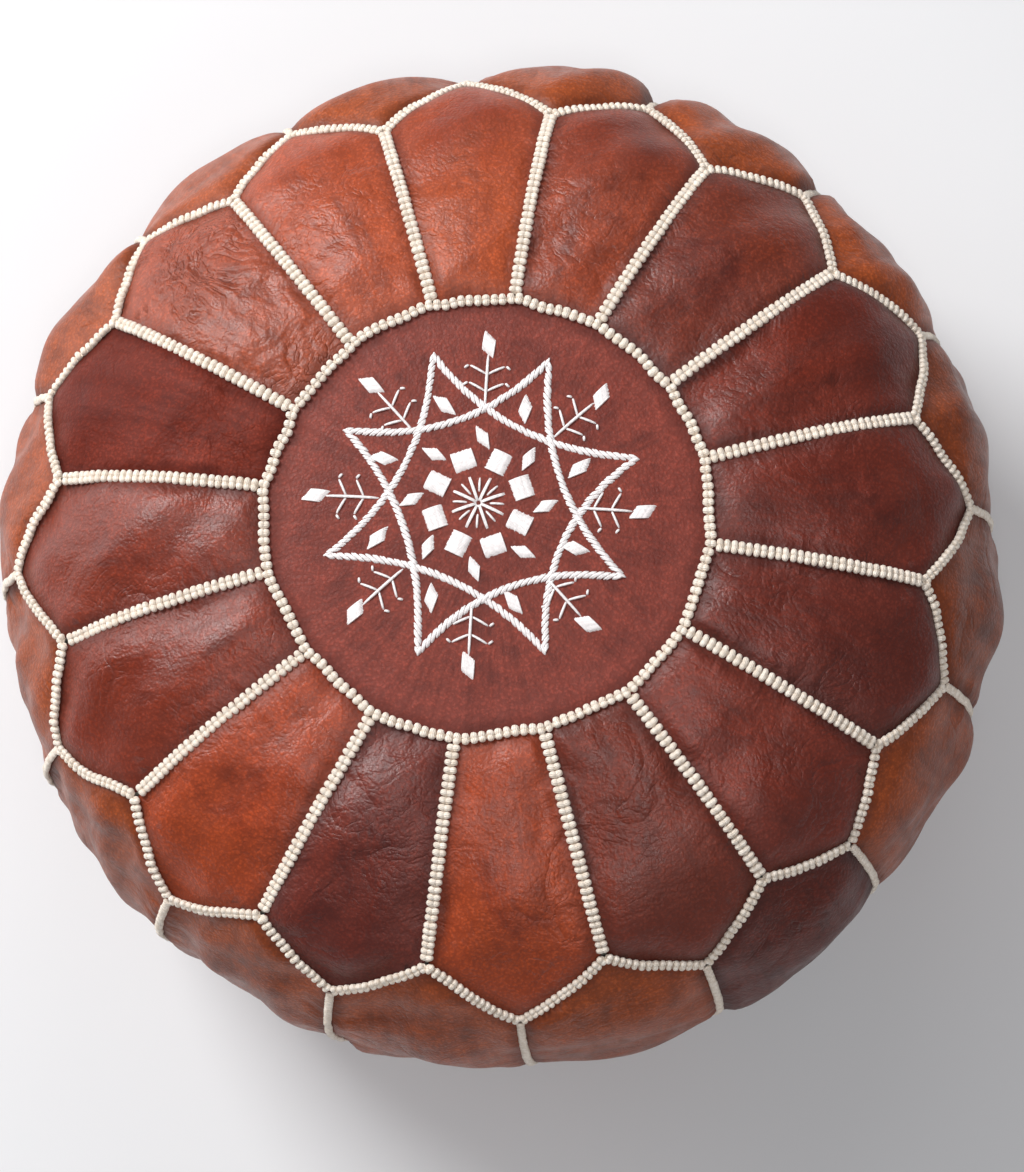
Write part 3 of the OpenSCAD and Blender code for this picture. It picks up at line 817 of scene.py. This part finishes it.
def seam_track(ids, closed=False, skip=(0, 0)):
    if closed:
        ids = np.append(ids, ids[0])
    length = distances(filled[ids])
    points_along = 6 * (len(ids) - closed)
    fine = np.linspace(skip[0], length[-1] - skip[1], points_along)
    smooth = [values_at(fine, length, values) for values in (filled[ids], outward[ids])]
    for repeat in range(8):
        for values in smooth:
            soften(values)
    return smooth


def spaced(track, pitch):
    places, normals = track
    length = distances(places)
    count = max(2, round(length[-1] / pitch))
    at = (np.arange(count) + 0.5) * length[-1] / count
    at += rng.uniform(-0.05, 0.05, count) * pitch
    place, normal = values_at(at, length, places), values_at(at, length, normals)
    ahead = unit(values_at(at + 0.001, length, places) - values_at(at - 0.001, length, places))
    normal = unit(normal - ahead * (normal * ahead).sum(1, keepdims=True))
    return place, ahead, np.cross(normal, ahead), normal


sides, levels = 10, 6
polar = np.pi * np.arange(1, levels) / levels
turning = 2 * np.pi * np.arange(sides) / sides
lobe = [[np.cos(p), np.sin(p) * np.cos(t), np.sin(p) * np.sin(t)] for p in polar for t in turning]
lobe = np.array(lobe + [[1, 0, 0], [-1, 0, 0]])
lobe = np.sign(lobe) * np.abs(lobe) ** 0.86
lobe_grid = np.arange((levels - 1) * sides).reshape(levels - 1, sides)
lobe_faces = quads_of(lobe_grid).tolist()
for tip, rim in ((len(lobe) - 2, lobe_grid[0, ::-1]), (len(lobe) - 1, lobe_grid[-1])):
    lobe_faces += [[tip, a, b] for a, b in zip(rim.tolist(), np.roll(rim, -1).tolist())]


def copies_of(shape_faces, size, count):
    return [[n * size + v for v in face] for n in range(count) for face in shape_faces]


def lobes(spots, off_line, raise_by, size, slant):
    place, ahead, across, normal = spots
    count = len(place)
    centre = place + across * off_line + normal * raise_by
    jitter = rng.uniform(0.93, 1.07, (count, 3))
    turn = slant + rng.uniform(-0.07, 0.07, count)
    x, y, z = (lobe[None, :, n] * size[n] * jitter[:, n : n + 1] for n in range(3))
    cos, sin = np.cos(turn)[:, None], np.sin(turn)[:, None]
    shape = (
        centre[:, None]
        + ahead[:, None] * (x * cos - y * sin)[..., None]
        + across[:, None] * (x * sin + y * cos)[..., None]
        + normal[:, None] * z[..., None]
    )
    return shape.reshape(-1, 3)


def braid_parts(track, width, pitch, height):
    """Two rows of plump lobes, and a flatter row under them."""
    spots = spaced(track, pitch)
    plump = (0.45 * pitch, 0.31 * width, 0.58 * height)
    flat = (0.6 * pitch, 0.36 * width, 0.30 * height)
    return [
        lobes(spots, way * 0.20 * width, 0.45 * height, plump, way * 0.16) for way in (-1, 1)
    ] + [lobes(spots, 0, 0.05 * height, flat, 0)]


def band_parts(track, width, pitch, height):
    size = (0.55 * pitch, 0.5 * width, 0.5 * height)
    return [lobes(spaced(track, pitch), 0, 0.26 * height, size, 0.12)]


# %% Overcast every seam: how each seam's lobes are laid, then their width, pitch and height
zigzag_ids = np.append(row_ids[petal_rows], row_ids[petal_rows, 0])
half_petal = per_petal // 2
zigzag_lines = [zigzag_ids[c : c + half_petal + 1] for c in range(0, columns, half_petal)]
ring, petal, side = ({"closed": True}, {"skip": (0.0024, 0.0022)}, {"skip": (0.003, 0.003)})
crown = {"skip": (0.0006, 0.0006)}
seams_to_sew = {
    "ring_braid": (braid_parts, seam_lines["ring"], ring, 0.0056, 0.0040, 0.0031),
    "petal_braids": (braid_parts, seam_lines["petal"], petal, 0.0066, 0.0036, 0.0031),
    "crown_braids": (braid_parts, zigzag_lines, crown, 0.0054, 0.0035, 0.0030),
    "side_braids": (band_parts, seam_lines["side"], side, 0.0046, 0.0021, 0.0026),
    "base_braid": (braid_parts, seam_lines["base"], ring, 0.0052, 0.0040, 0.0027),
}
for name, (parts_of, lines, ends, *size) in seams_to_sew.items():
    parts = [part for ids in lines for part in parts_of(seam_track(ids, **ends), *size)]
    places = np.concatenate(parts)
    count = len(places) // len(lobe)
    piece = new_piece(name + "_stitches", places, copies_of(lobe_faces, len(lobe), count))
    note(piece, strand=np.tile(lobe[:, 0] * 7.0, count))
    keep_piece(piece, cream_cotton, name)
    print(name, count, "lobes")

# %% [markdown]
# ## Embroidery
# The ornament is laid with a shiny white thread. Every stitch is its own slim tube that rises out
# of the leather, arches over and goes back in. The star's outline is rope stitch: slanted teeth of
# three threads each. The squares and lozenges are satin stitch: threads laid side by side. The
# branches are single long stitches with a hooked tip.

# %% Height of the medallion under the needle
surface_tree = BVHTree.FromPolygons(filled.tolist(), faces.tolist())
spacing = 0.0025
samples = np.arange(-0.1, 0.1001, spacing)
down = Vector((0, 0, -1))
height_map = np.array([
    [surface_tree.ray_cast(Vector((x, y, 0.4)), down)[0].z for y in samples] for x in samples
])


def height_at(x, y):
    u, v = (np.asarray(x) - samples[0]) / spacing, (np.asarray(y) - samples[0]) / spacing
    a, b = np.floor(u).astype(int), np.floor(v).astype(int)
    u, v = u - a, v - b
    low = height_map[a, b] * (1 - v) + height_map[a, b + 1] * v
    high = height_map[a + 1, b] * (1 - v) + height_map[a + 1, b + 1] * v
    return low * (1 - u) + high * u


# %% Stitches from one point to another
star_middle = np.array([-0.0035, 0.006])
star_r = 0.0775
star_turn = math.radians(-7)


def turned(place, angle):
    x, y = np.asarray(place, float).T
    cos, sin = math.cos(angle), math.sin(angle)
    return np.stack([x * cos - y * sin, x * sin + y * cos], -1)


def sew(name, stitches):
    """stitches: rows of x, y, x, y, thickness and lift, round the star's own middle."""
    rows_of = np.array(stitches, float)
    a, b = (turned(rows_of[:, n : n + 2], star_turn) + star_middle for n in (0, 2))
    thick, lift = rows_of[:, 4:5] / 2, rows_of[:, 5:6]
    steps, facets = 7, 6
    t = np.linspace(0, 1, steps)
    arch = np.sqrt(np.sin(np.pi * t).clip(0))
    flat = a[:, None] + (b - a)[:, None] * t[:, None]
    z = height_at(flat[..., 0], flat[..., 1])
    z = z + (thick * 0.75 + lift) * arch - thick * 0.9 * (1 - arch)
    way = unit(b - a)
    side = np.stack([-way[:, 1], way[:, 0], np.zeros(len(way))], -1)
    turn = 2 * np.pi * np.arange(facets) / facets
    full = (thick * (0.55 + 0.45 * arch))[..., None]
    tube = (
        np.dstack([flat, z])[:, :, None]
        + side[:, None, None] * (np.cos(turn) * full)[..., None]
        + np.array([0, 0, 1]) * (np.sin(turn) * full * 0.8)[..., None]
    )
    tube_grid = np.arange(steps * facets).reshape(steps, facets)
    ends = [tube_grid[0, ::-1].tolist(), tube_grid[-1].tolist()]
    corners = copies_of(quads_of(tube_grid).tolist() + ends, steps * facets, len(a))
    piece = new_piece(name + "_stitches", tube.reshape(-1, 3), corners)
    strand_turn = 0.0009
    along_thread = np.linalg.norm(b - a, axis=1)[:, None] * t / strand_turn
    note(piece, strand=along_thread[:, :, None] + turn / 2)
    keep_piece(piece, white_silk, name)
    print(name, len(a), "stitches")


def satin(middle, way, length, width, slant=0.0):
    """A filled shape: threads side by side, each a little longer or shorter than the last."""
    gap, thickness, lift = 0.00066, 0.00112, 0.0002
    count = round(width / gap)
    d = np.array([math.cos(way), math.sin(way)])
    n = np.array([-d[1], d[0]])
    out = []
    for offset in (np.arange(count) - (count - 1) / 2) * gap:
        centre = np.array(middle) + n * offset + d * offset * slant
        reach = d * length / 2 * rng.uniform(0.95, 1.04)
        out.append([*(centre - reach), *(centre + reach), thickness, lift])
    return out


# %% The eight-pointed star
point_reach = star_r + np.array([2, 1, 0, -3, 0, 1, 2, 1]) / 1000
point_turn = np.radians([-3, 0, -2, -4, 0, 4, 5, -2])
point_angle = np.radians(22.5 + 45 * np.arange(8)) + point_turn
star_points = point_reach[:, None] * np.stack([np.cos(point_angle), np.sin(point_angle)], -1)


def star_line(n):
    """From one point of the star to the next but one, drawn in towards the middle."""
    a, c = star_points[n], star_points[(n + 2) % 8]
    drawn_in = 0.25 * (a + c)
    t = np.linspace(0, 1, 200)[:, None]
    return (1 - t) ** 2 * a + 2 * t * (1 - t) * drawn_in + t**2 * c


star = []
tooth_pitch, thread_gap, half_stitch, soft_end = 0.0034, 0.0007, 0.0034, 0.012
for n in range(8):
    line = star_line(n)
    length = distances(line)
    slant = math.radians(33 if n % 2 else -33)
    for at in np.arange(0.002, length[-1] - 0.001, tooth_pitch):
        ends = min(1, 0.5 + at / soft_end, 0.5 + (length[-1] - at) / soft_end)
        size = rng.uniform(0.88, 1.12) * ends
        for off in (-thread_gap, 0, thread_gap):
            here = np.clip(at + off, 0, length[-1] - 0.0011)
            p = values_at(here, length, line)
            ahead = values_at(here + 0.001, length, line) - p
            d = turned(unit(ahead), slant + rng.uniform(-0.05, 0.05)) * half_stitch * size
            star.append([*(p - d), *(p + d), 0.00115, 0.0001 + 0.0003 * (n % 2)])
sew("star_embroidery", star)

# %% The burst, the squares, the lozenges and the branches
burst, squares, diamonds, branches = [], [], [], []
for n in range(8):
    point, gap = math.radians(45 * n + 22.5), math.radians(45 * n)
    to_point, to_gap = (np.array([math.cos(x), math.sin(x)]) for x in (point, gap))
    for shift in (-0.0003, 0.0003):
        aside = shift * np.array([-to_point[1], to_point[0]])
        burst.append([*(0.0004 * to_point + aside), *(0.0140 * to_point + aside), 0.0010, 0.0004])
    burst.append([*(0.0050 * to_gap), *(0.0128 * to_gap), 0.0012, 0.0001])
    squares += satin(0.0220 * to_point, point + (math.pi / 2 if n % 2 else 0), 0.0110, 0.0106)
    diamonds += satin(0.415 * star_r * to_gap, gap + rng.uniform(-0.2, 0.2), 0.0090, 0.0050, 0.9)
    diamonds += satin(0.66 * star_r * to_point, point + rng.uniform(-0.2, 0.2), 0.0108, 0.0054, 0.9)
    branches.append([*(0.60 * star_r * to_gap), *(0.97 * star_r * to_gap), 0.0015, 0.0003])
    branches += satin(1.015 * star_r * to_gap, gap + rng.uniform(-0.12, 0.12), 0.0108, 0.0060, 0.7)
    for at in (0.71, 0.82):
        for side in (-1, 1):
            root = at * star_r * to_gap
            elbow = root + 0.0100 * turned(to_gap, side * math.radians(63))
            hook = elbow + 0.0030 * turned(to_gap, side * math.radians(128))
            branches += [[*root, *elbow, 0.0013, 0.0003], [*elbow, *hook, 0.0013, 0.0002]]
sew("burst_embroidery", burst)
sew("square_embroidery", squares)
sew("lozenge_embroidery", diamonds)
sew("branch_embroidery", branches)

# %% [markdown]
# ## The base
# The base is two half rounds of plain suede with the zip between them. The weight of the stuffing
# presses a flat ring onto the floor, and the middle rises into a shallow dish. Each half is a sheet
# of lines that run straight from the round seam to the zip.


# %% Base halves
def base_height(r):
    foot = np.interp(r, outline_r[:widest:-1], outline_z[:widest:-1])
    return np.where(r < foot_r, np.interp(r, [dish_flat_r, dish_r], [dish_z, 0.0]), foot)


for name, way in (("base_half_front", -1), ("base_half_back", 1)):
    u = np.linspace(0.004, np.pi - 0.004, 121)
    seam_r = base_seam_r - 0.0004
    x = -seam_r * np.cos(u)
    beside_zip, at_joint = 0.0080, 0.0003
    inner = np.where(abs(x) < dish_flat_r - 0.002, beside_zip, at_joint)
    t = np.linspace(0, 1, 31)[:, None] ** 1.2
    y = between(np.maximum(seam_r * np.sin(u), inner + 0.0002), inner, t)
    x = np.broadcast_to(x, y.shape)
    r = np.hypot(x, y)
    gathers = np.sin(46 * np.arctan2(y, x) + 3 * np.sin(90 * x)) * np.exp((r - seam_r) / 0.012)
    waves = np.sin(90 * x) * np.sin(70 * y + 1) * (r < dish_flat_r)
    z = np.maximum(base_height(r) + 0.0006 * gathers + 0.0003 * waves, 0.00005)
    quads = quads_of(np.arange(y.size).reshape(y.shape), closed=False)[:, ::way]
    piece = new_piece(name + "_hide", np.stack([x, way * y, z], -1).reshape(-1, 3), quads)
    note(piece, to_seam=np.minimum(seam_r - r, y - inner + 0.002), along=np.zeros(y.size))
    note(piece, seam_place=seam_r * np.broadcast_to(u, y.shape), pull=np.exp((r - seam_r) / 0.012))
    thicken(piece, rounded=False)
    keep_piece(piece, base_leather, name)
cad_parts["base_welts"].material_slots[0].material = base_leather

# %% [markdown]
# ## What is inside
# A cotton bag holds the stuffing. Both follow the cover from inside, about a centimetre down, and
# they are smoother than the leather, so none of its folds dips down to them.


# %% Liner bag and stuffing
smooth_outward = skin_normals(points)


def inner_bag(name, depth, material, lumpiness):
    upper = (filled - smooth_outward * depth)[row_ids]
    for repeat in range(8):
        upper = (np.roll(upper, 1, 1) + 2 * upper + np.roll(upper, -1, 1)) / 4
        soften(upper)
    rim_x, rim_y, rim_z = upper[0].T
    angles = np.arctan2(rim_y, rim_x)
    crown = [np.stack([share * rim_x, share * rim_y, rim_z], -1) for share in (0.05, 0.35, 0.7)]
    foot = []
    for radius in (0.196, 0.180, 0.165, 0.145, 0.08, 0.01):
        lift = depth + (0.001 if radius > 0.1 else 0.008) + (dish_z if radius < 0.16 else 0)
        circle = [radius * np.cos(angles), radius * np.sin(angles), np.full_like(angles, lift)]
        foot.append(np.stack(circle, -1))
    shell = np.concatenate([crown, upper, foot])[:, ::2]
    lumps = np.sin(shell @ np.array([60, 75, 90.0])) * np.sin(shell @ np.array([-80, 55, 70.0]))
    shell = shell * (1 - lumpiness * lumps.clip(0)[..., None] / 0.25)
    ids = np.arange(shell[..., 0].size).reshape(shell.shape[:2])
    quads = quads_of(np.column_stack([ids, ids[:, 0]]).T, closed=False)
    caps = [ids[0].tolist(), ids[-1][::-1].tolist()]
    piece = new_piece(name + "_soft", shell.reshape(-1, 3), quads.tolist() + caps)
    return keep_piece(piece, material, name)


liner = inner_bag("liner_bag", 0.0090, cotton, 0.0006)
stuffing = inner_bag("filling", 0.0115, wadding, 0.0015)

# %% [markdown]
# ## The zip
# The zip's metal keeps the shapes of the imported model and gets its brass. Its tapes are cloth, so
# each is drawn again as a narrow woven strip, with a thick cord along the edge with the teeth.

# %% Zip tapes and brass
upper_side = [
    (0, 0), (0.3, 0.75), (1, 1), (1.4, 0.9), (2.2, 0.55), (6, 0.5), (10, 0.55), (13, 0.55), (13.8, 0.4),
]
section = np.array([*upper_side, (14, 0), *((x, -z) for x, z in upper_side[:0:-1])])
across, rise = section[:, 0] / 14, section[:, 1]
for name, way in (("zip_tape_front", -1), ("zip_tape_back", 1)):
    low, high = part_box(name)
    near, far = (low.y, high.y) if way > 0 else (high.y, low.y)
    middle, half_thick = (low.z + high.z) / 2, (high.z - low.z) / 2
    along_x = np.linspace(low.x, high.x, 60)
    strip = np.stack([
        np.repeat(along_x, len(across)),
        near + (far - near) * np.tile(across, len(along_x)),
        middle + half_thick * np.tile(rise, len(along_x)),
    ], -1)
    ids = np.arange(len(strip)).reshape(len(along_x), -1)
    ends = [ids[0, ::-way].tolist(), ids[-1, ::way].tolist()]
    piece = new_piece(name + "_cloth", strip, quads_of(ids)[:, ::way].tolist() + ends)
    keep_piece(piece, tape_cloth, name)
for name in ("teeth_front", "teeth_back", "top_stops", "bottom_stop", "slider", "pull"):
    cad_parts["zip_" + name].material_slots[0].material = aged_brass

# %% [markdown]
# ## Floor
# A wide pale floor catches the pouf's shadow. It is part of the studio, not of the pouf.

# %% Floor
floor_material, tree, surface, place = new_material("studio_floor")
dust = noise(tree, place, 3.0, 4.0)["Fac"]
colour = blend_colours(tree, dust, (0.73, 0.73, 0.74), (0.77, 0.77, 0.78))
fill(tree, surface, {"Base Color": colour, "Roughness": 0.8})
floor = new_piece("floor", [(-8, -8, 0), (8, -8, 0), (8, 8, 0), (-8, 8, 0)], [(0, 1, 2, 3)])
floor.data.materials.append(floor_material)
floor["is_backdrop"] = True

# %% [markdown]
# ## Size
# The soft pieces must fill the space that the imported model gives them, so both boxes are written
# down side by side.

# %% Compare the boxes and finish
seen_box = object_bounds()
for n, axis in enumerate("xyz"):
    packed, drawn = ([round(1000 * corner[n], 1) for corner in box] for box in (cad_box, seen_box))
    print(axis, "packed", packed, "mm, drawn", drawn, "mm")
